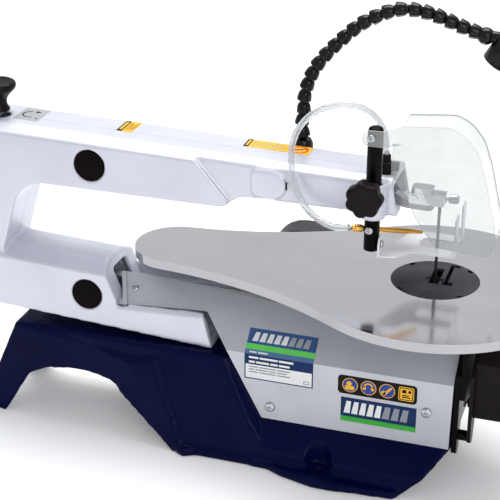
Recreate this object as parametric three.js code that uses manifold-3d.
// Bench scroll saw of the 400 mm class: a two-arm parallelogram saw with a tilting table,
// a sliding guard post, a clear blade guard, an air blower hose and a flexible lamp.
//
// Units are millimetres. While modelling, the origin is on the table top at the blade:
// +X to the front (the operator's side), +Y to the motor side, +Z up. The finished group is
// moved so that its origin is the bottom centre of its box.

import * as THREE from 'three';
import { mergeVertices } from 'three/addons/utils/BufferGeometryUtils.js';
import Module from 'manifold-3d';

const wasm = await Module();
wasm.setup();

// ---------------------------------------------------------------- driving dimensions

const gap = 0.3;                    // clearance between touching pieces
const fineStep = 0.12;              // angle between the points of a visible rounded corner
const benchZ = -193;                // bench surface

const table = { front: 127, rear: 42, rearX: -256, flank: 400, plate: 4, skirt: 9, rim: 5 };
const insert = { radius: 41.2, thick: 3, ledge: 37 };

const housing = { rear: -478, halfUpper: 32, halfLower: 36, wall: 4.5, lowerFront: -209, front: 31 };
const throat = { rear: -430, topRear: -408, top: 59, bottom: -15 };
const mouth = { x: -33, bottom: 70, top: 104 };

const upperPivot = { x: -333, z: 84 };
const lowerPivot = { x: -340, z: -52 };
const pivotPin = { radius: 5, half: 27 };
const plug = { radius: 15.5, thick: 4 };
const rearLinkX = -441;             // tension rod joining the rear ends of both arms

const cover = { fold: -81, foldY: -50, bottom: -149.5, thick: 1.5, front: 32 };
const base = { top: -91.3, wall: 5, front: 33, step: -150, ledge: -172, lip: 8 };
const boltPocket = { x: -89.5, y: 72, radius: 13, floor: -183 };

const post = { x: -54, y: -37, radius: 7, bottom: 40, top: 158 };
const motor = { x: -142, z: -77, radius: 44, near: 36.5, join: 98, far: 128 };
const crank = { throw: 4.8, pin: 2.5, rodPinZ: -56 };

const bladePin = { top: 79, bottom: -52 };
const tilt = { boltY: 62, boltZ: -72, plate: 5 };
const box = { rear: 47, front: 100, half: 40, bottom: -118, top: -20 };
const airPort = { x: -50, y: -6.5 };
const postClamp = { x: post.x - 3, z: 97 };
const lampBase = { x: -141, y: 38, top: 99.8 };

// ---------------------------------------------------------------- materials

function finish(colour, roughness, metalness, extra = {}) {
  return new THREE.MeshStandardMaterial({ color: colour, roughness, metalness, ...extra });
}

const paintSilver = finish(0xc9cedb, 0.35, 0.1);
const paintNavy = finish(0x0b1440, 0.3, 0.1);
const sheetSilver = finish(0xbcc1cc, 0.4, 0.5);
const castAluminium = finish(0xb4b3b8, 0.35, 0.9);
const charcoal = finish(0x3a3639, 0.6, 0.1);
const blackPlastic = finish(0x121012, 0.5, 0);
const blackPaint = finish(0x141214, 0.4, 0.2);
const greyPlastic = finish(0x4a484d, 0.5, 0);
const steel = finish(0x9a9ca2, 0.35, 1);
const chrome = finish(0xd8dbe2, 0.12, 1);
const bladeSteel = finish(0x3f4046, 0.35, 1);
const brass = finish(0xb07a24, 0.25, 1);
const rubber = finish(0x1b1b1c, 0.8, 0);
const clearPlastic = finish(0xe9eef0, 0.08, 0, { transparent: true, opacity: 0.25 });
const clearHose = finish(0xdfe4e6, 0.25, 0, { transparent: true, opacity: 0.5 });
const redPlastic = finish(0xa81414, 0.4, 0);
const greenPlastic = finish(0x146b2c, 0.4, 0);
const lensWhite = finish(0xf4f1e6, 0.2, 0);

// ---------------------------------------------------------------- solids

// A closed geometry with its faces turned outwards and its shared vertices merged.
function closed(geometry) {
  const bare = new THREE.BufferGeometry();
  bare.setAttribute('position', geometry.getAttribute('position').clone());
  if (geometry.index) bare.setIndex(geometry.index.clone());
  const merged = mergeVertices(bare, 1e-4);
  const at = merged.getAttribute('position');
  const index = merged.index.array;
  const [a, b, c] = [new THREE.Vector3(), new THREE.Vector3(), new THREE.Vector3()];
  const kept = [];
  let volume = 0;
  for (let i = 0; i < index.length; i += 3) {
    const [i0, i1, i2] = [index[i], index[i + 1], index[i + 2]];
    if (i0 === i1 || i1 === i2 || i2 === i0) continue;
    kept.push(i0, i1, i2);
    a.fromBufferAttribute(at, i0);
    b.fromBufferAttribute(at, i1);
    c.fromBufferAttribute(at, i2);
    volume += a.dot(b.cross(c));
  }
  merged.setIndex(volume < 0 ? kept.reverse() : kept);
  return merged;
}

function solid(geometry) {
  const shell = closed(geometry);
  return new wasm.Manifold(new wasm.Mesh({
    numProp: 3,
    vertProperties: new Float32Array(shell.getAttribute('position').array),
    triVerts: new Uint32Array(shell.index.array),
  }));
}

function join(...solids) {
  return solids.reduce((sum, next) => sum.add(next));
}

function cut(body, ...tools) {
  return tools.reduce((rest, tool) => rest.subtract(tool), body);
}

function geometryOf(body) {
  const mesh = body.getMesh();
  const geometry = new THREE.BufferGeometry();
  geometry.setAttribute('position', new THREE.BufferAttribute(new Float32Array(mesh.vertProperties), 3));
  geometry.setIndex(new THREE.BufferAttribute(new Uint32Array(mesh.triVerts), 1));
  return geometry;
}

// ---------------------------------------------------------------- outlines

// Corners are [u, v] or [u, v, radius]. A corner with a radius becomes an arc.
function outline(corners, step = 0.3) {
  const points = [];
  corners.forEach(([u, v, radius = 0], i) => {
    const corner = new THREE.Vector2(u, v);
    if (radius === 0) {
      points.push(corner);
      return;
    }
    const before = corners[(i + corners.length - 1) % corners.length];
    const after = corners[(i + 1) % corners.length];
    const back = new THREE.Vector2(before[0] - u, before[1] - v).normalize();
    const on = new THREE.Vector2(after[0] - u, after[1] - v).normalize();
    const half = Math.acos(THREE.MathUtils.clamp(back.dot(on), -1, 1)) / 2;
    const centre = back.clone().add(on).normalize().multiplyScalar(radius / Math.sin(half)).add(corner);
    const start = corner.clone().addScaledVector(back, radius / Math.tan(half)).sub(centre);
    const end = corner.clone().addScaledVector(on, radius / Math.tan(half)).sub(centre);
    let sweep = end.angle() - start.angle();
    if (sweep > Math.PI) sweep -= 2 * Math.PI;
    if (sweep < -Math.PI) sweep += 2 * Math.PI;
    const steps = Math.max(1, Math.round(Math.abs(sweep) / step));
    for (let k = 0; k <= steps; k += 1) {
      const angle = start.angle() + (sweep * k) / steps;
      points.push(new THREE.Vector2(Math.cos(angle), Math.sin(angle)).multiplyScalar(radius).add(centre));
    }
  });
  return points;
}

// The same corners moved inwards by a distance, with the radii to match.
function inset(corners, distance) {
  const turn = Math.sign(THREE.ShapeUtils.area(corners.map(([u, v]) => new THREE.Vector2(u, v))));
  return corners.map(([u, v, radius = 0], i) => {
    const before = corners[(i + corners.length - 1) % corners.length];
    const after = corners[(i + 1) % corners.length];
    const into = new THREE.Vector2(u - before[0], v - before[1]).normalize();
    const out = new THREE.Vector2(after[0] - u, after[1] - v).normalize();
    const normalIn = new THREE.Vector2(-into.y, into.x).multiplyScalar(turn);
    const normalOut = new THREE.Vector2(-out.y, out.x).multiplyScalar(turn);
    const shift = distance / (1 + normalIn.dot(normalOut));
    const convex = Math.sign(into.cross(out)) === turn;
    const inner = radius === 0 ? 0 : Math.max(radius + (convex ? -distance : distance), 0.5);
    return [u + (normalIn.x + normalOut.x) * shift, v + (normalIn.y + normalOut.y) * shift, inner];
  });
}

function arc(cx, cy, radius, from, to, steps) {
  return Array.from({ length: steps + 1 }, (unused, k) => {
    const angle = from + ((to - from) * k) / steps;
    return new THREE.Vector2(cx + radius * Math.cos(angle), cy + radius * Math.sin(angle));
  });
}

// ---------------------------------------------------------------- basic forms

const toY = new THREE.Matrix4().makeRotationX(Math.PI / 2);
const toX = new THREE.Matrix4().makeBasis(
  new THREE.Vector3(0, 1, 0), new THREE.Vector3(0, 0, 1), new THREE.Vector3(1, 0, 0));

function extruded(points, length, bevel) {
  const settings = { depth: length, bevelEnabled: false };
  if (bevel) {
    settings.bevelEnabled = true;
    settings.depth = length - 2 * bevel.depth;
    settings.bevelThickness = bevel.depth;
    settings.bevelSize = bevel.size;
    settings.bevelOffset = -bevel.size;
    settings.bevelSegments = bevel.steps;
  }
  const geometry = new THREE.ExtrudeGeometry(new THREE.Shape(points), settings);
  return geometry.translate(0, 0, bevel ? bevel.depth : 0);
}

// Points are (x, z); the prism runs from y0 to y1.
function prismY(points, y0, y1, bevel) {
  return solid(extruded(points, y1 - y0, bevel).applyMatrix4(toY).translate(0, y1, 0));
}

// Points are (y, z); the prism runs from x0 to x1.
function prismX(points, x0, x1, bevel) {
  return solid(extruded(points, x1 - x0, bevel).applyMatrix4(toX).translate(x0, 0, 0));
}

// Points are (x, y); the prism runs from z0 to z1.
function prismZ(points, z0, z1, bevel) {
  return solid(extruded(points, z1 - z0, bevel).translate(0, 0, z0));
}

function block(x0, x1, y0, y1, z0, z1) {
  const geometry = new THREE.BoxGeometry(x1 - x0, y1 - y0, z1 - z0);
  return solid(geometry.translate((x0 + x1) / 2, (y0 + y1) / 2, (z0 + z1) / 2));
}

// A profile of (radius, height) turned about the local Z axis.
function turned(profile, sides = 20) {
  const points = profile.map(([r, h]) => new THREE.Vector2(r, h));
  return solid(new THREE.LatheGeometry(points, sides).rotateX(Math.PI / 2));
}

function rodZ(radius, x, y, z0, z1, sides = 14) {
  const geometry = new THREE.CylinderGeometry(radius, radius, z1 - z0, sides).rotateX(Math.PI / 2);
  return solid(geometry.translate(x, y, (z0 + z1) / 2));
}

function rodY(radius, x, z, y0, y1, sides = 14) {
  const geometry = new THREE.CylinderGeometry(radius, radius, y1 - y0, sides);
  return solid(geometry.translate(x, (y0 + y1) / 2, z));
}

function rodX(radius, y, z, x0, x1, sides = 14) {
  const geometry = new THREE.CylinderGeometry(radius, radius, x1 - x0, sides).rotateZ(Math.PI / 2);
  return solid(geometry.translate((x0 + x1) / 2, y, z));
}

// Rings of matching 3-D points, joined in order and closed at both ends.
function loft(rings) {
  const count = rings[0].length;
  const index = [];
  for (let r = 0; r < rings.length - 1; r += 1) {
    for (let i = 0; i < count; i += 1) {
      const a = r * count + i;
      const b = r * count + ((i + 1) % count);
      index.push(a, b, b + count, a, b + count, a + count);
    }
  }
  const last = (rings.length - 1) * count;
  capOf(rings[0]).forEach(([a, b, c]) => index.push(a, c, b));
  capOf(rings[rings.length - 1]).forEach(([a, b, c]) => index.push(last + a, last + b, last + c));
  const geometry = new THREE.BufferGeometry();
  geometry.setAttribute('position', new THREE.Float32BufferAttribute(rings.flat(2), 3));
  geometry.setIndex(index);
  return solid(geometry);
}

// Triangles that fill a ring, worked out on the two axes along which it is widest.
function capOf(ring) {
  const spans = [0, 1, 2].map((axis) => {
    const values = ring.map((point) => point[axis]);
    return Math.max(...values) - Math.min(...values);
  });
  const thin = spans.indexOf(Math.min(...spans));
  const [u, v] = [(thin + 1) % 3, (thin + 2) % 3];
  const flat = ring.map((point) => new THREE.Vector2(point[u], point[v]));
  const triangles = THREE.ShapeUtils.triangulateShape(flat, []);
  return THREE.ShapeUtils.area(flat) > 0 ? triangles : triangles.map(([a, b, c]) => [a, c, b]);
}

// A round section swept along a smooth path.
function tube(route, radius, sides, steps) {
  const path = new THREE.CatmullRomCurve3(route.map((point) => new THREE.Vector3(...point)));
  const section = new THREE.Shape(arc(0, 0, radius, 0, 2 * Math.PI, sides).slice(0, sides));
  return solid(new THREE.ExtrudeGeometry(section, { steps, bevelEnabled: false, extrudePath: path }));
}

// ---------------------------------------------------------------- the group of named pieces

const saw = new THREE.Group();

function piece(name, material, body, at = [0, 0, 0], turn = [0, 0, 0]) {
  const mesh = new THREE.Mesh(geometryOf(body), material);
  mesh.name = name;
  mesh.position.set(...at);
  mesh.rotation.set(...turn);
  saw.add(mesh);
}

// ---------------------------------------------------------------- screws

const facingNear = [Math.PI / 2, 0, 0];
const facingBevel = [Math.PI / 4, 0, 0];
const facingFront = [0, Math.PI / 2, 0];
const screwSize = { head: 3.7, height: 2, shank: 1.9, hole: 2.2, length: 4 };

// A round head with a cross recess, standing on its local XY plane.
function crossScrew(head = screwSize.head) {
  const { height, shank, length } = screwSize;
  const body = turned([[0, -length], [shank, -length], [shank, 0], [head, 0], [head, height * 0.55],
    [head * 0.75, height], [0, height]], 10);
  const bottom = height - 0.7;
  const recess = join(block(-2.2, 2.2, -0.4, 0.4, bottom, 5), block(-0.4, 0.4, -2.2, 2.2, bottom, 5));
  return cut(body, recess);
}

function placed(body, at, turn) {
  const matrix = new THREE.Matrix4().makeRotationFromEuler(new THREE.Euler(...turn)).setPosition(...at);
  return solid(geometryOf(body).applyMatrix4(matrix));
}

function screwHole(at, turn) {
  return placed(rodZ(screwSize.hole, 0, 0, -screwSize.length - 1.5, 3), at, turn);
}

const coverScrews = [[-296, -16, -47], [-144.5, -50, -136], [8.2, -50, -113.5]];
const coverScrewHeads = [3.7, 5, 5];

// ---------------------------------------------------------------- housing halves

const topAt = (x) => mouth.top + ((mouth.x - x) * 11.5) / 440;
const bottomAt = (x) => -91 + ((housing.lowerFront - x) * 14) / 230;

const upperCorners = [
  [mouth.x, mouth.bottom],
  [mouth.x - 6.5, mouth.top],
  [housing.rear, topAt(housing.rear), 32],
  [housing.rear, -50],
  [-440, -50],
  [throat.rear, throat.bottom, 12],
  [throat.topRear, throat.top, 34],
  [-198, throat.top, 14],
  [-183, mouth.bottom, 14],
];

const lowerCorners = [
  [housing.rear, throat.bottom + 20],
  [housing.rear, bottomAt(housing.rear), 14],
  [housing.lowerFront, bottomAt(housing.lowerFront)],
  [housing.lowerFront - 10, -54],
  [-307, -58],
  [-323, -19],
  [throat.rear - 5, throat.bottom + 2],
];

const rearPanel = { top: -226, foot: -194, depth: 4 };

// The wedge taken off the top edge of a housing on one side, from x0 to x1.
function edgeWedge(side, x0, x1, halfWidth, inwards, topZ, drop) {
  const ring = (x) => [
    [x, side * (halfWidth + 4), topZ(x) + 4],
    [x, side * (halfWidth - inwards), topZ(x) + 4],
    [x, side * (halfWidth - inwards), topZ(x)],
    [x, side * halfWidth, topZ(x) - drop],
    [x, side * (halfWidth + 4), topZ(x) - drop],
  ];
  return loft([ring(x0), ring(x1)]);
}

// The near top edge (-1) has a broad chamfer, and the far one (1) a narrow one.
const topEdge = { '-1': { inwards: 13, drop: 7 }, 1: { inwards: 4, drop: 4 } };
const stripTop = (x) => -54 - ((housing.lowerFront - 10 - x) * 4) / 84;

function outerBody() {
  const half = housing.halfUpper;
  let upper = prismY(outline(upperCorners, fineStep), -half, half);
  let lower = prismY(outline(lowerCorners, fineStep), -housing.halfLower, housing.halfLower);
  const lowerTop = (x) => -14 - (x + 436) * 0.045;
  [-1, 1].forEach((side) => {
    const { inwards, drop } = topEdge[side];
    upper = cut(upper, edgeWedge(side, housing.rear - 5, 0, half, inwards, topAt, drop));
    upper = cut(upper, sideRelief(side));
    lower = cut(lower, edgeWedge(side, throat.rear - 7, -314, housing.halfLower, 20, lowerTop, 9));
    lower = cut(lower, edgeWedge(side, -309, housing.lowerFront, housing.halfLower, 4.5, stripTop, 4.5));
  });
  return join(upper, lower);
}

// Forward of the rear panel the side of the arm steps back, leaving one raised block.
function sideRelief(side) {
  const half = housing.halfUpper;
  const surface = half - rearPanel.depth;
  const between = (points, outer) => prismY(points, Math.min(side * surface, side * outer),
    Math.max(side * surface, side * outer));
  const area = outline([[rearPanel.top, 140], [-20, 140], [-20, 50], [rearPanel.foot, 50],
    [rearPanel.foot, 66], [rearPanel.top, 103]]);
  const raised = outline([[-171, 101, 6], [-138, 99.5, 12], [-138, 73.5, 12], [-171, 73.5, 6]]);
  return cut(between(area, half + 5), between(raised, half - 1.2));
}

function cavity() {
  const upperDepth = housing.halfUpper - rearPanel.depth - housing.wall + 1;
  const lowerDepth = housing.halfLower - housing.wall;
  const upper = prismY(outline(inset(upperCorners, housing.wall)), -upperDepth, upperDepth);
  const lower = prismY(outline(inset(lowerCorners, housing.wall)), -lowerDepth, lowerDepth);
  const slope = (x) => -14 - (x + 436) * 0.045 - housing.wall;
  const wedges = [-1, 1].map((side) => edgeWedge(side, throat.rear - 5, -290, lowerDepth, 18, slope, 9));
  return cut(join(upper, lower), ...wedges);
}

// Tubular bosses that carry a pivot pin, and the recesses that its plugs sit in.
function pivotBosses(pivot, half) {
  const near = rodY(11, pivot.x, pivot.z, -half + 1, -9);
  const far = rodY(11, pivot.x, pivot.z, 9, half - 1);
  return join(near, far);
}

function pivotCuts(pivot, half) {
  const bore = rodY(pivotPin.radius + gap, pivot.x, pivot.z, -pivotPin.half - gap, pivotPin.half + gap);
  const recesses = [-1, 1].map((side) => {
    const [from, to] = [side * (half - plug.thick), side * (half + 5)];
    return rodY(plug.radius + gap, pivot.x, pivot.z, Math.min(from, to), Math.max(from, to), 24);
  });
  return join(bore, ...recesses);
}

// The rounded rib on the near side that the guard post slides through.
function postBoss() {
  const web = block(post.x - 12, post.x + 12, post.y, -20, mouth.bottom + 1, mouth.top - 1);
  return join(rodZ(12, post.x, post.y, mouth.bottom + 1, mouth.top + 1, 24), web);
}

// The round bracket on the far side of the arm that the lamp's collar stands on.
function lampBoss() {
  const { x, y, top } = lampBase;
  const bottom = top - 16;
  return join(rodZ(11, x, y, bottom, top, 24), block(x - 11, x + 11, 26, y, bottom, top));
}

// On the motor side the lower housing runs on to the front as a plain wall with a floor.
function motorWall() {
  const half = housing.halfLower;
  const corners = [[-330, -40, 4], [housing.front, -40, 6], [housing.front, -91, 3], [-330, -91]];
  const outer = prismY(outline(corners), 1, half);
  const inner = prismY(outline([[-340, -20], [26, -20], [26, -86], [-340, -86]]), -5, half - 5);
  return cut(outer, inner);
}

function sharedCuts() {
  const opening = prismX(outline([[-24, 75, 4], [24, 75, 4], [24, 98, 4], [-24, 98, 4]]), -60, -25);
  const armSlot = block(-195, -25, -9, 9, 55, 80);
  const rodHole = rodZ(11, rearLinkX, 0, 100, 130, 24);
  const armPassage = block(-330, -290, -15, 15, -80, -30);
  const frontBay = block(-299, -200, -27, 20, -84, -20);
  return join(opening, armSlot, rodHole, armPassage, frontBay);
}

// What is taken away so that the folded side cover can lie on the lower housing.
function coverSeat() {
  const slope = cover.thick * Math.SQRT2 + 2 * gap;
  const under = (y) => y - cover.foldY + cover.fold - slope;
  const seat = (near, x0, x1) => prismX(outline([[near, under(near)], [0, under(0)], [0, 20], [near, 20]]),
    x0, x1);
  return join(seat(-33, -309, -298), seat(-29.5, -299, -200));
}

function housingHalf(side) {
  let body = cut(outerBody(), cavity());
  body = join(body, pivotBosses(upperPivot, housing.halfUpper), pivotBosses(lowerPivot, housing.halfLower));
  body = join(body, side < 0 ? postBoss() : motorWall());
  body = cut(body, pivotCuts(upperPivot, housing.halfUpper), pivotCuts(lowerPivot, housing.halfLower));
  body = cut(body, sharedCuts());
  if (side < 0) {
    body = join(body, block(-305, -290, -23, -9.5, -80, -40), block(-305, -290, -34, -20, -80, -64));
    body = cut(
      body,
      coverSeat(),
      screwHole(coverScrews[0], facingBevel),
      rodZ(post.radius + gap, post.x, post.y, 40, 130, 20),
      rodY(3.4, postClamp.x, postClamp.z, -60, post.y),
      rodZ(5, airPort.x, airPort.y, 90, 120),
      block(-137.6, -136, -34, -28, 84, 92),
    );
    return body.intersect(block(-500, 60, -80, -gap / 2, -120, 140));
  }
  body = join(body, lampBoss());
  body = cut(
    body,
    rodZ(7, lampBase.x, lampBase.y, lampBase.top - 9, 130),
    rodY(8, motor.x, motor.z, 20, 50),
    block(motor.x - 18, motor.x + 18, 0, 26, -100, -84),
  );
  return body.intersect(block(-500, 60, gap / 2, 80, -120, 140));
}

piece('left_housing', paintSilver, housingHalf(-1));
piece('right_housing', paintSilver, housingHalf(1));

// ---------------------------------------------------------------- base

const baseTopAt = (x) => Math.min(base.top, bottomAt(x) - gap);

// Half of the front block in plan at each height, from the rear ridge to the front.
function frontBlock(wall) {
  const levels = [
    { z: -70, ridge: -206, side: 41, rear: 41, front: base.front, near: 48.2, far: 48.2 },
    { z: base.step + 0.2, ridge: -163.3, side: 60, rear: 60, front: base.front, near: 48.2, far: 48.2 },
    { z: base.step, ridge: -163.2, side: 60, rear: 60, front: base.front, near: 50, far: 50 },
    { z: base.ledge, ridge: -156, side: 66, rear: 66, front: 13, near: 68, far: 77 },
    { z: benchZ, ridge: -156, side: 70, rear: 70, front: -9, near: 68.5, far: 78 },
  ];
  return loft(levels.map(({ z, ridge, side, rear, front, near, far }) => {
    const height = wall && z === benchZ ? z - 5 : z;
    const corners = [[-300, rear], [ridge, side], [ridge + 10, near], [front - wall, far]];
    const lower = corners.map(([x, y]) => [x, wall - y, height]);
    const upper = corners.reverse().map(([x, y]) => [x, y - wall, height]);
    return [...lower, ...upper];
  }));
}

function rearLegs(wall) {
  const levels = [
    { z: -70, rear: -408.5, a: 42, b: 43, c: 45, edge: -278 },
    { z: benchZ - (wall ? 5 : 0), rear: -460, a: 51, b: 56, c: 74, edge: -226 },
  ];
  return loft(levels.map(({ z, rear, a, b, c, edge }) => {
    const corners = [[rear + wall, a], [-330, b], [edge, c]];
    const lower = corners.map(([x, y]) => [x, wall - y, z]);
    const upper = corners.reverse().map(([x, y]) => [x, y - wall, z]);
    return [...lower, ...upper];
  }));
}

// The band below the housing is set back, which leaves a ridge on top of each leg panel.
// Moved inwards by the wall, it holds the hollow back behind the band.
function upperBand(side, inwards = 0) {
  const ring = (x, top, bottom, z) => [
    [x, side * 90, -60],
    [x, side * (top - inwards), -60],
    [x, side * (bottom - inwards), z - inwards],
    [x, side * 90, z - inwards],
  ];
  return loft([ring(-430, 39, 41.5, -91), ring(-284, 43.5, 48.5, -109), ring(-262, 44, 48, -103)]);
}

function baseLip() {
  const near = [[-238, -66], [-234, -74], [-226, -78], [-213, -72], [-168, -72], [-139, -74.5],
    [-124, -81.5], [-92, -90], [-76, -91], [-53, -88], [-14, -85.5], [-9, -81]];
  const far = near.map(([x, y]) => [x, -y]).reverse();
  return prismZ(outline([...near, ...far]), benchZ, benchZ + base.lip);
}

function baseCasting() {
  const outer = join(frontBlock(0), rearLegs(0));
  const hollow = join(frontBlock(base.wall), rearLegs(base.wall));
  const inner = cut(hollow, upperBand(-1, base.wall), upperBand(1, base.wall));
  const [roof, innerRoof] = [0, base.wall].map((below) => prismY(outline([
    [-500, 0],
    [-500, baseTopAt(-500) - below],
    [housing.lowerFront, base.top - below],
    [80, base.top - below],
    [80, 0],
  ]), -120, 120));
  let body = cut(join(outer, baseLip()), cut(inner, innerRoof), roof, upperBand(-1), upperBand(1));
  [-1, 1].forEach((side) => {
    const y = side * boltPocket.y;
    const shell = rodZ(boltPocket.radius + 4, boltPocket.x, y, benchZ, base.step + 6, 24).intersect(outer);
    const pad = rodZ(boltPocket.radius + 4, boltPocket.x, y, benchZ, boltPocket.floor, 24);
    body = join(body, shell, pad);
    body = cut(body, rodZ(boltPocket.radius, boltPocket.x, y, boltPocket.floor, -120, 24));
    body = cut(body, rodZ(4.5, boltPocket.x, y, benchZ - 5, -160));
  });
  const sideArch = prismY(outline([[-431, -210], [-431, benchZ], [-403, -146, 14], [-381, -136, 20],
    [-350, -131, 60], [-309, -136, 20], [-240, benchZ], [-240, -210]], fineStep), -120, 120);
  const frontArch = prismX(outline([[-56, -210], [-50, -172, 10], [50, -172, 10], [56, -210]]), -40, 60);
  const rearArch = prismX(outline([[-36, -210], [-30, -140, 20], [30, -140, 20], [36, -210]]), -500, -400);
  return cut(
    body,
    sideArch,
    frontArch,
    rearArch,
    rodY(motor.radius + 2, motor.x, motor.z, 34, 110, 32),
    block(motor.x - 18, motor.x + 18, 0, 26, -100, -80),
    ...coverScrews.slice(1).map((at) => screwHole(at, facingNear)),
  );
}

piece('base', paintNavy, baseCasting());

// ---------------------------------------------------------------- side cover

function sideCover() {
  const { fold, foldY, bottom, thick, front } = cover;
  const plane = prismY(outline([[-189, fold], [-153, bottom], [front - 1, bottom], [front, fold]]), foldY,
    foldY + thick);
  const along = (y) => (y - foldY) * Math.SQRT2;
  const bevel = prismZ(outline([[-189, 0], [-217, along(-25)], [-299, along(-28.5)], [-303, along(-30)],
    [-313, along(-6)], [-300, along(-4)], [front, along(-20)], [front, 0]]), -thick, 0);
  const rib = prismZ(outline([[-303, along(-30)], [-313, along(-6)], [-309, along(-5.5)],
    [-299, along(-29.3)]]), -thick, 3);
  const folded = placed(join(bevel, rib), [0, foldY, fold], facingBevel);
  return cut(
    join(plane, folded),
    screwHole(coverScrews[0], facingBevel),
    ...coverScrews.slice(1).map((at) => screwHole(at, facingNear)),
  );
}

piece('side_cover', sheetSilver, sideCover());
coverScrews.forEach((at, i) => {
  const turn = i === 0 ? facingBevel : facingNear;
  const lift = i === 0 ? [at[0], at[1] - 0.2, at[2] + 0.2] : [at[0], at[1] - gap, at[2]];
  piece(`cover_screw_${i + 1}`, steel, crossScrew(coverScrewHeads[i]), lift, turn);
});

// ---------------------------------------------------------------- pivots and plugs

function pivotPlug() {
  return turned([[0, gap], [plug.radius, gap], [plug.radius, plug.thick + 0.3], [0, plug.thick + 1.2]], 24);
}

function pivotPieces(pivot, half, level) {
  const near = [pivot.x, plug.thick - half, pivot.z];
  const far = [pivot.x, half - plug.thick, pivot.z];
  piece(`${level}_left_plug`, blackPlastic, pivotPlug(), near, facingNear);
  piece(`${level}_right_plug`, blackPlastic, pivotPlug(), far, [-Math.PI / 2, 0, 0]);
  const pin = rodY(pivotPin.radius, pivot.x, pivot.z, -pivotPin.half, pivotPin.half);
  piece(`${level}_pivot_pin`, steel, pin);
}

pivotPieces(upperPivot, housing.halfUpper, 'upper');
pivotPieces(lowerPivot, housing.halfLower, 'lower');

// ---------------------------------------------------------------- arms

function upperArm() {
  const profile = outline([[-345, 73, 6], [-321, 73, 6], [-130, 76, 20], [-60, 76], [-30, 71],
    [-8, 70.5, 2], [-5, 73], [-5, 76.2], [-28, 76.4], [-40, 84, 6], [-60, 86], [-130, 90, 20],
    [-321, 95, 6], [-345, 95, 6], [-454, 91, 3], [-454, 77, 3]]);
  const bar = join(prismY(profile, -5.5, 5.5), block(-454, -428, -8, 8, 77, 91));
  return cut(
    bar,
    rodY(pivotPin.radius + gap, upperPivot.x, upperPivot.z, -20, 20),
    rodZ(5, rearLinkX, 0, 60, 100),
  );
}

function lowerArm() {
  const profile = outline([[-454, -59, 3], [-352, -63, 6], [-328, -63, 6], [-60, -63, 20], [-12, -74, 4],
    [10, -74, 2],
    [10, -60.4], [-12, -60.4], [-60, -49, 20], [-328, -41, 6], [-352, -41, 6], [-454, -45, 3]]);
  const bar = join(
    prismY(profile, -6, 6),
    block(-454, -428, -8, 8, -59, -45),
    rodY(2.8, motor.x, crank.rodPinZ, 5, 12.1),
  );
  return cut(
    bar,
    rodY(pivotPin.radius + gap, lowerPivot.x, lowerPivot.z, -20, 20),
    rodZ(5, rearLinkX, 0, -80, -30),
  );
}

piece('upper_arm', castAluminium, upperArm());
piece('lower_arm', castAluminium, lowerArm());

const rod = turned([[0, -68], [8, -68], [8, -60.6], [4, -60.6], [4, 130], [0, 130]], 16);
piece('tension_rod', steel, rod, [rearLinkX, 0, 0]);

const knobProfile = [[0, 131], [4.3, 131], [4.3, 118.3], [10.6, 118.3], [10.3, 121], [8, 123.5], [7.8, 129],
  [16.6, 139.8], [17.8, 143], [17.2, 146], [12, 147.9], [0, 148.3]];
piece('tension_knob', blackPlastic, turned(knobProfile, 20), [rearLinkX, 0, 0]);

// ---------------------------------------------------------------- blade and clamps

function clampBlock(x0, x1, z0, z1, half, pinZ) {
  const body = prismY(outline([[x0, z0, 3], [x1, z0, 1], [x1, z1, 1], [x0, z1, 3]]), -half, half);
  const slot = block(-3, 12, -1, 1, z0 - 2, z1 + 2);
  const seat = block(-2.4, 12, -4.9, 4.9, pinZ - 2, pinZ + 2);
  return cut(body, slot, seat);
}

function upperClamp() {
  const cap = prismZ(outline([[-26, -7, 4], [-6, -7, 4], [-6, 7, 4], [-26, 7, 4]]), 86.5, 92);
  const screwHead = rodY(3.6, -23, 82, -9.2, -6);
  return join(clampBlock(-28, 5, 76.8, 87, 7.5, bladePin.top), cap, screwHead);
}

function bladeStrip() {
  const strip = block(-1.5, 1.5, -0.3, 0.3, bladePin.bottom - 2, bladePin.top + 2);
  const pins = [bladePin.top, bladePin.bottom].map((z) => rodY(1.2, 0, z, -4, 4, 10));
  return join(strip, ...pins);
}

piece('upper_blade_clamp', steel, upperClamp());
piece('lower_blade_clamp', steel, clampBlock(-9, 8, -60, -46, 7, bladePin.bottom));
piece('blade', bladeSteel, bladeStrip());

const thumbscrew = turned([[0, 0], [2, 0], [2, 2.8], [4.2, 2.8], [4.2, 10], [3, 12], [0, 12]], 16);
piece('clamp_thumbscrew', steel, thumbscrew, [5.4, 0, 83], facingFront);

// ---------------------------------------------------------------- table

function tableOutline(shrink) {
  const centreX = -288.9;
  const centreY = 440.8;
  const flank = table.flank + shrink;
  const [front, rear] = [table.front - shrink, table.rear - shrink];
  const frontAngle = Math.atan2(centreY, centreX);
  const rearAngle = Math.atan2(centreY, centreX - table.rearX);
  const flankFrom = Math.atan2(-centreY, table.rearX - centreX);
  const flankTo = Math.atan2(-centreY, -centreX);
  return [
    ...arc(0, 0, front, -frontAngle, frontAngle, 84),
    ...arc(centreX, centreY, flank, flankTo, flankFrom, 18).slice(1),
    ...arc(table.rearX, 0, rear, rearAngle, 2 * Math.PI - rearAngle, 30).slice(1),
    ...arc(centreX, -centreY, flank, -flankFrom, -flankTo, 18).slice(1, -1),
  ];
}

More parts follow.
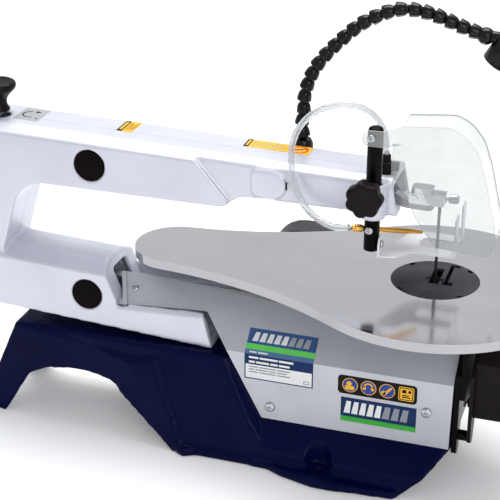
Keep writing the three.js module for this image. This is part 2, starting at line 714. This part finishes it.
function tableTop() {
  const { plate, skirt, rim } = table;
  const under = prismZ(tableOutline(rim), -skirt - 1, -plate);
  const ring = rodZ(47, 0, 0, -skirt + 1, -plate, 32);
  const [low, high] = [-skirt + 1, -plate + 0.5];
  const ribs = [-20, 20].map((y) => block(-285, -40, y - 1.5, y + 1.5, low, high));
  const crossRibs = [-60, -150, -230].map((x) => block(x - 1.5, x + 1.5, -38, 38, low, high));
  const seat = block(38, 44.5, -50, 88, -skirt, -plate + 0.5);
  const body = join(cut(prismZ(tableOutline(0), -skirt, 0), under), ring, ...ribs, ...crossRibs, seat);
  return cut(
    body,
    rodZ(insert.radius + gap, 0, 0, -insert.thick - gap, 1, 72),
    rodZ(insert.ledge, 0, 0, -20, 0, 32),
  );
}

function tableInsert() {
  let body = rodZ(insert.radius, 0, 0, -insert.thick, 0, 72);
  const notch = block(37.5, 50, -3, 3, -10, 5);
  [1, 3, 5, 7].forEach((eighth) => {
    body = cut(body, placed(notch, [0, 0, 0], [0, 0, (eighth * Math.PI) / 4]));
  });
  return cut(
    body,
    block(-5.5, 4, -8, 26, -10, 5),
    block(-8.8, 7.5, 0, 4, -10, 5),
    block(8.5, 12, -8, 37, -10, 5),
    block(7, 17, -8, -1, -10, 5),
    block(8.5, 17, 32, 37, -10, 5),
  );
}

piece('table', castAluminium, tableTop());
piece('table_insert', charcoal, tableInsert());

// ---------------------------------------------------------------- table tilt

const bracketX = base.front + gap;
const trunnionX = bracketX + tilt.plate + gap;
const boltRadius = Math.hypot(tilt.boltY, tilt.boltZ);
const boltAngle = Math.atan2(tilt.boltZ, tilt.boltY);

function tiltTrunnion() {
  const outer = arc(0, 0, boltRadius + 12, -2.08, -0.62, 16).map(({ x, y }) => [x, y]);
  const plate = prismX(outline([[-48, -table.skirt - gap], ...outer, [88, -table.skirt - gap]]), trunnionX,
    trunnionX + tilt.plate);
  const [from, to] = [boltAngle - Math.PI / 4 - 0.05, boltAngle + 0.05];
  const slotOuter = arc(0, 0, boltRadius + 3.5, from, to, 10);
  const slotInner = arc(0, 0, boltRadius - 3.5, to, from, 10);
  return cut(plate, prismX([...slotOuter, ...slotInner], 0, 60));
}

function tiltBracket() {
  const plate = prismX(outline([[-50, -70, 4], [-22, -42, 4], [30, -42, 4], [74, -58, 10], [74, -86, 10],
    [50, -98, 6], [50, -155, 6], [38, -155, 6], [30, -112, 12], [-30, -112, 12], [-38, -155, 6],
    [-50, -155, 6]]),
  bracketX, bracketX + tilt.plate);
  const spacers = [-1, 1].map((side) => rodX(5, side * 42, -136, bracketX + 1, box.rear - gap));
  return cut(join(plate, ...spacers), rodX(3.4, tilt.boltY, tilt.boltZ, 0, 60));
}

// A hand knob about its local Z axis: a lobed grip and a plain shank below it.
function lobedKnob(lobes, radius, depth, shank, shankLength) {
  const count = lobes * 6;
  const grip = Array.from({ length: count }, (unused, k) => {
    const angle = (2 * Math.PI * k) / count;
    const r = radius * (0.9 + 0.1 * Math.cos(lobes * angle));
    return new THREE.Vector2(r * Math.cos(angle), r * Math.sin(angle));
  });
  const body = solid(extruded(grip, depth, { depth: 2, size: 2, steps: 1 }));
  return join(body, rodZ(shank, 0, 0, -shankLength, 1), rodZ(radius * 0.45, 0, 0, -1.5, 1));
}

piece('table_trunnion', blackPaint, tiltTrunnion());
piece('trunnion_bracket', blackPaint, tiltBracket());
piece('tilt_lock_knob', blackPlastic, lobedKnob(5, 16, 16, 3, 14), [box.rear + 0.5, tilt.boltY, tilt.boltZ],
  facingFront);

// ---------------------------------------------------------------- motor and crank

function motorBody() {
  const body = rodY(motor.radius, motor.x, motor.z, motor.near, motor.join, 32);
  const slots = Array.from({ length: 9 }, (unused, k) => {
    const angle = (k - 4) * 0.3;
    const slot = block(-1.4, 1.4, 46, 88, motor.radius - 3, motor.radius + 5);
    return placed(slot, [motor.x, 0, motor.z], [0, angle, 0]);
  });
  return cut(body, ...slots);
}

function motorCover() {
  const corners = [[-194, -140, 26], [-90, -140, 26], [-90, -14, 34], [-194, -14, 34]];
  const outer = prismY(outline(corners, 0.25), motor.join + gap, motor.far);
  const inner = prismY(outline(inset(corners, 3), 0.25), motor.join, motor.far - 3);
  const vents = Array.from({ length: 7 }, (unused, k) => {
    const z = motor.z - 27 + k * 9;
    return block(motor.x - 30, motor.x + 30, motor.far - 10, motor.far + 5, z - 1.6, z + 1.6);
  });
  const spigot = rodY(20, motor.x, motor.z, motor.join + gap, motor.far - 8, 24);
  return cut(cut(outer, inner), ...vents).add(cut(spigot, spigot.intersect(inner)));
}

function motorShaft() {
  const shaft = rodY(4, motor.x, motor.z, 15, motor.near - gap);
  const disc = rodY(8.8, motor.x, motor.z, 14.5, 22, 24);
  const pin = rodY(crank.pin, motor.x - crank.throw, motor.z, 12.2, 15, 12);
  return join(shaft, disc, pin);
}

function connectingRod() {
  const foot = new THREE.Vector2(motor.x - crank.throw, motor.z);
  const head = new THREE.Vector2(motor.x, crank.rodPinZ);
  const along = head.clone().sub(foot).normalize().multiplyScalar(3);
  const across = new THREE.Vector2(-along.y, along.x);
  const web = [
    foot.clone().add(across),
    foot.clone().sub(across),
    head.clone().sub(across),
    head.clone().add(across),
  ];
  const [y0, y1] = [6.4, 11.8];
  const ends = join(rodY(5, foot.x, foot.y, y0, y1), rodY(5.5, head.x, head.y, y0, y1));
  const body = join(prismY(web, y0, y1), ends);
  return cut(body, rodY(3.1, head.x, head.y, 0, 20), rodY(2.8, foot.x, foot.y, 0, 20));
}

piece('motor_body', greyPlastic, motorBody());
piece('motor_cover', greyPlastic, motorCover());
piece('motor_shaft', steel, motorShaft());
piece('connecting_rod', castAluminium, connectingRod());

// ---------------------------------------------------------------- control box

const buttonZ = -58;
const speedKnobZ = -94;

function controlBox() {
  const section = [[-box.half, box.bottom, 3], [box.half, box.bottom, 3], [box.half, box.top, 3],
    [-box.half + 40, box.top, 3], [-box.half, box.top - 40, 3]];
  const shell = prismX(outline(section), box.rear + 3, box.front);
  const legs = prismX(outline([[-48, -70, 3], [-38, -62, 3], [-3, -26, 3], [42, -26, 3], [46, -140, 5],
    [36, -146, 5],
    [24, -114, 6], [-24, -114, 6], [-36, -146, 5], [-48, -140, 5]]), box.rear, box.rear + 3.5);
  const hollow = prismX(outline(inset(section, 3)), box.rear - 1, box.front - 3);
  const wires = rodY(5, 75, -100, box.half - 5, box.half + 5);
  const buttons = [-11, 11].map((y) => block(box.front - 8, box.front + 5, y - 8.3, y + 8.3,
    buttonZ - 8.3, buttonZ + 8.3));
  const spindle = rodX(4.3, 0, speedKnobZ, box.front - 8, box.front + 5);
  return cut(join(shell, legs), hollow, wires, spindle, ...buttons);
}

function pushButton() {
  return block(-6, 3, -8, 8, -8, 8);
}

function speedKnob() {
  const grip = turned([[0, 0.5], [15, 0.5], [15, 3], [12, 4], [11, 15], [0, 15]], 20);
  const body = join(grip, rodZ(4, 0, 0, -8, 1));
  return cut(body, block(2, 12, -0.6, 0.6, 14, 20));
}

const chamferMid = [87, -box.half + 20, box.top - 20];
piece('control_box', blackPlastic, controlBox());
piece('switch_plate', greyPlastic, block(-11, 11, -22, 22, 0.3, 1.8), chamferMid, facingBevel);
piece('on_button', greenPlastic, pushButton(), [box.front, -11, buttonZ]);
piece('off_button', redPlastic, pushButton(), [box.front, 11, buttonZ]);
piece('speed_knob', blackPlastic, speedKnob(), [box.front, 0, speedKnobZ], facingFront);

const glandProfile = [[0, -4], [4.6, -4], [4.6, 0.4], [8, 0.4], [8, 5], [6, 6], [6, 16], [0, 16]];
piece('cable_gland', rubber, turned(glandProfile, 18), [75, box.half, -100], [-Math.PI / 2, 0, 0]);

// ---------------------------------------------------------------- guard post and hold-down

const nozzleFrom = new THREE.Vector3(-70, -48.3, 63.7);
const nozzleTo = new THREE.Vector3(-13, -8, 50.3);
const nozzleLine = nozzleTo.clone().sub(nozzleFrom);
const nozzleTurn = new THREE.Quaternion();
nozzleTurn.setFromUnitVectors(new THREE.Vector3(0, 0, 1), nozzleLine.clone().normalize());

function alongNozzle(body) {
  const matrix = new THREE.Matrix4().compose(nozzleFrom, nozzleTurn, new THREE.Vector3(1, 1, 1));
  return solid(geometryOf(body).applyMatrix4(matrix));
}

function guardPost() {
  const body = turned([[0, post.bottom], [post.radius, post.bottom], [post.radius, post.top - 4],
    [post.radius * 0.8, post.top - 1], [0, post.top]], 20);
  const at = new THREE.Vector3(-post.x, -post.y, 0);
  const bore = alongNozzle(rodZ(2.9, 0, 0, 2, nozzleLine.length()));
  const nozzleScrewHole = placed(rodZ(2.2, 0, 0, -5, 6), [-55, -44, 61], facingNear);
  const guardScrewHole = placed(rodZ(2.2, 0, 0, -6, 6), [-55.8, -44, 149.5], facingNear);
  const holes = join(bore, nozzleScrewHole, guardScrewHole);
  return cut(body, solid(geometryOf(holes).translate(at.x, at.y, at.z)));
}

piece('guard_post', blackPaint, guardPost(), [post.x, post.y, 0]);
const shortScrew = cut(crossScrew(), block(-5, 5, -5, 5, -10, -1.4));
piece('nozzle_screw', steel, shortScrew, [-55, -44.4, 61], facingNear);
piece('guard_screw', steel, crossScrew(), [-55.8, -46.4, 149.5], facingNear);
piece('post_clamp_knob', blackPlastic, lobedKnob(7, 17, 15, 3, 6), [postClamp.x, post.y - 14, postClamp.z],
  facingNear);

function airNozzle() {
  const length = nozzleLine.length();
  const body = turned([[0, 0], [2.2, 0], [2.5, 2], [2.5, length - 12], [1.5, length], [0, length]], 16);
  const ferrule = turned([[0, 3], [3.6, 3], [3.6, 10], [2.4, 11], [0, 11]], 16);
  return alongNozzle(cut(join(body, ferrule), rodZ(0.8, 0, 0, length - 10, length + 5, 8)));
}

piece('air_nozzle', brass, airNozzle());

function holdDownFoot() {
  const sheet = 1.5;
  const plate = prismZ(outline([[-46.3, -44, 2], [-30, -40, 6], [-18, -25, 6], [20, -25], [20, -10],
    [-14, -10, 3], [-17, 0], [-14, 10, 3], [20, 10], [20, 24], [-22, 24, 4], [-31, 12, 4],
    [-46.3, -30, 2]]), 35.5, 35.5 + sheet);
  const flange = prismX(outline([[-45.5, 35.6], [-29, 35.6], [-29.5, 49, 6], [-34, 55, 4], [-42, 55, 4],
    [-45.5, 49, 6]]), -46.3, -46.3 + sheet);
  const prong = (y0, y1) => prismX(outline([[y0, 35.6], [y1, 35.6], [y1, 74, 4], [y0, 74, 4]]),
    19, 19 + sheet);
  return cut(join(plate, flange, prong(-25, -10), prong(10, 24)), rodX(2.2, -38, 47, -60, -40));
}

piece('hold_down_foot', chrome, holdDownFoot());
piece('foot_screw', steel, shortScrew, [-44.4, -38, 47], facingFront);

// ---------------------------------------------------------------- blade guard

function bladeGuard() {
  const sheet = 1.6;
  const y0 = post.y + 5.5;
  const edge = [[-40, 157.3], [10, 163], [23, 157], [36, 143], [45, 118], [56.5, 72], [57.5, 60], [53, 48]];
  const lowerEdge = [[48, 43.5, 4], [3, 47, 4], [-12, 66, 4], [-22, 84, 6], [-40, 113, 4]];
  const panel = prismY(outline([...edge, ...lowerEdge]), y0, y0 + sheet);
  const inner = inset([...edge, [0, 60], [-30, 120]], sheet).slice(0, edge.length);
  const strip = [...edge, ...inner.reverse()];
  const band = cut(prismY(outline(strip), y0, 4), block(-60, -36, y0 + sheet, 10, 100, 170));
  const tab = prismY(outline([[-64.5, 141, 6], [-45, 141], [-45, 158], [-64.5, 158, 6]]), -46, -44.4);
  const bend = prismZ(outline([[-46, -46], [-44.6, -46], [-32, y0], [-32, y0 + sheet], [-34, y0 + sheet],
    [-46, -44.4]]), 141, 157);
  return cut(join(panel, band, tab, bend), rodY(2.2, -55.8, 149.5, -60, -40));
}

piece('blade_guard', clearPlastic, bladeGuard());

// ---------------------------------------------------------------- air pump and hose

function airPump() {
  const rings = [93.6, 95.6, 97.6].map((z) => rodZ(9, -76, -11.5, z, z + 1.6));
  return join(...rings, rodZ(7.5, -76, -11.5, 94, 99), block(-76, -45, -9, -4, 96, 99));
}

piece('air_pump', rubber, airPump());

function airFitting() {
  const stem = turned([[0, 99.5], [4.7, 99.5], [4.7, 104.9], [6.2, 104.9], [6.2, 114], [4.2, 115],
    [4.2, 121], [0, 121]], 18);
  const stub = rodX(4.6, airPort.y, 110.5, airPort.x, -38.5);
  return join(placed(stem, [airPort.x, airPort.y, 0], [0, 0, 0]), stub);
}

piece('air_fitting', blackPlastic, airFitting());

const hoseRoute = [[-71.5, -49.4, 64], [-84, -50, 62.5], [-98, -47, 65], [-111, -44, 72], [-121, -41, 84],
  [-128, -39, 100], [-131, -36, 117], [-131, -33, 132], [-126, -30, 146], [-116, -27, 158],
  [-101, -22, 166], [-86, -17, 168], [-71, -12, 164], [-60, -9, 155], [-53, -7, 142], [-50, -6.5, 121.5]];
piece('air_hose', clearHose, tube(hoseRoute, 3, 8, 30));

// ---------------------------------------------------------------- lamp

const inLampPlane = (points) => points.map(([x, z]) => [x, lampBase.y, z]);
const lowerNeck = inLampPlane([[-141, 111], [-141, 114.5], [-143, 124.5], [-141, 136.5], [-141, 151.5],
  [-136.5, 169], [-128.5, 185], [-117, 199.5], [-103.5, 213.5], [-90, 226], [-74, 235.5], [-57, 243],
  [-48, 244.4], [-45.5, 244.5]]);
const upperNeck = inLampPlane([[-44.5, 244.5], [-42, 244.4], [-32.5, 243.5], [-23.5, 241.5],
  [-12.5, 238], [-3, 234.5], [4, 232], [17, 228.5], [30, 224]]);
const headTilt = 0.55;
const headPlace = [35.7, lampBase.y, 201.9];

const collarProfile = [[0, 91.3], [6.7, 91.3], [6.7, 100.1], [9.6, 100.1], [9.6, 106], [7.6, 110.3],
  [0, 110.3]];
piece('lamp_base', blackPlastic, turned(collarProfile, 20), [lampBase.x, lampBase.y, 0]);
piece('lamp_neck_lower', blackPlastic, tube(lowerNeck, 7, 10, 18));
piece('lamp_neck_upper', blackPlastic, tube(upperNeck, 7, 10, 10));

const headProfile = [[0, 2], [12, 2], [12, 0], [14, 0], [14, 42], [12, 48], [7, 51], [0, 52]];
piece('lamp_head', blackPlastic, turned(headProfile, 24), headPlace, [0, headTilt, 0]);
piece('lamp_lens', lensWhite, turned([[0, 0.4], [11.6, 0.4], [11.6, 1.7], [0, 1.7]], 24),
  headPlace, [0, headTilt, 0]);

// ---------------------------------------------------------------- origin

const frame = new THREE.Group();
frame.name = 'scroll_saw';
const extent = new THREE.Box3();
saw.updateMatrixWorld(true);
saw.children.filter(({ name }) => name !== 'air_hose').forEach((mesh) => extent.expandByObject(mesh));
const middle = extent.getCenter(new THREE.Vector3());
saw.position.set(-middle.x, -middle.y, -extent.min.z);
frame.add(saw);

export default frame;
